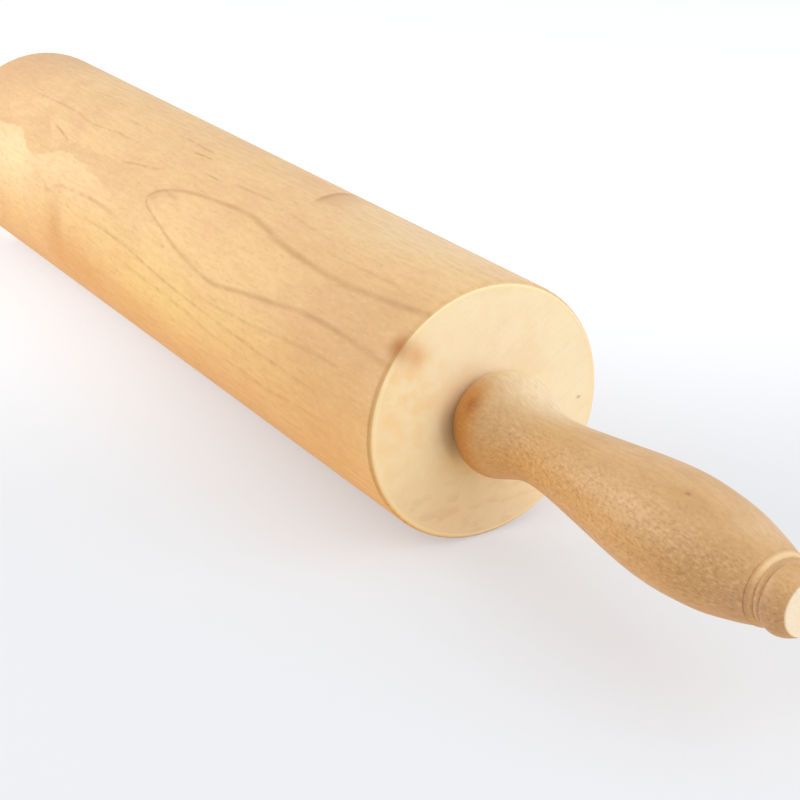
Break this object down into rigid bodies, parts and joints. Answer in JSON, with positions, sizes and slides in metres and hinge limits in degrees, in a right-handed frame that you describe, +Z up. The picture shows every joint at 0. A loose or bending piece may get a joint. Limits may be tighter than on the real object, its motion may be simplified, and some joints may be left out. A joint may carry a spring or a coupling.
{
  "type": "rolling pin",
  "caption": "Two-handled wooden rolling pin: a thick cylindrical barrel turns on ball bearings round a steel axle that is screwed into a turned handle at each end",
  "frame": {"origin": "middle of the barrel, on the axle line", "axes": "X along the axle from the left handle to the right handle, Z up, Y away from a viewer who has the right handle on the right"},
  "size_m": [0.5334, 0.07, 0.07],
  "materials": {
    "barrel_wood": "pale tan close-grained hardwood, sanded and oiled, semi-matt",
    "handle_wood": "darker golden hardwood with fine short flecks, oiled, soft sheen",
    "axle_steel": "ground steel rod",
    "spacer_steel": "zinc-plated steel",
    "insert_brass": "turned brass",
    "race_steel": "ground and polished bearing steel",
    "ball_steel": "polished bearing steel",
    "cage_plastic": "moulded natural nylon",
    "shield_steel": "pressed thin steel"
  },
  "bodies": {
    "axle_and_handles": {"axle": "axle_steel", "spacer_tube": "spacer_steel", "handle_left": "handle_wood", "handle_right": "handle_wood", "handle_insert_left": "insert_brass", "handle_insert_right": "insert_brass", "thrust_washer_left": "spacer_steel", "thrust_washer_right": "spacer_steel", "inner_race_left": "race_steel", "inner_race_right": "race_steel"},
    "roller": {"barrel": "barrel_wood", "outer_race_left": "race_steel", "outer_race_right": "race_steel", "outer_shield_left": "shield_steel", "outer_shield_right": "shield_steel", "inner_shield_left": "shield_steel", "inner_shield_right": "shield_steel"},
    "balls_left": {"bearing_balls_left": "ball_steel", "ball_cage_left": "cage_plastic"},
    "balls_right": {"bearing_balls_right": "ball_steel", "ball_cage_right": "cage_plastic"}
  },
  "joints": [
    {"name": "barrel_spin", "type": "hinge", "parent": "axle_and_handles", "child": "roller", "pos_m": [0, 0, 0], "axis": [1, 0, 0], "continuous": true},
    {"name": "ball_orbit_left", "type": "hinge", "parent": "axle_and_handles", "child": "balls_left", "pos_m": [-0.1456, 0, 0], "axis": [1, 0, 0], "continuous": true},
    {"name": "ball_orbit_right", "type": "hinge", "parent": "axle_and_handles", "child": "balls_right", "pos_m": [0.1456, 0, 0], "axis": [1, 0, 0], "continuous": true}
  ],
  "couplings": [
    {"joint": "ball_orbit_left", "follows": "barrel_spin", "ratio": 0.6176},
    {"joint": "ball_orbit_right", "follows": "barrel_spin", "ratio": 0.6176}
  ]
}
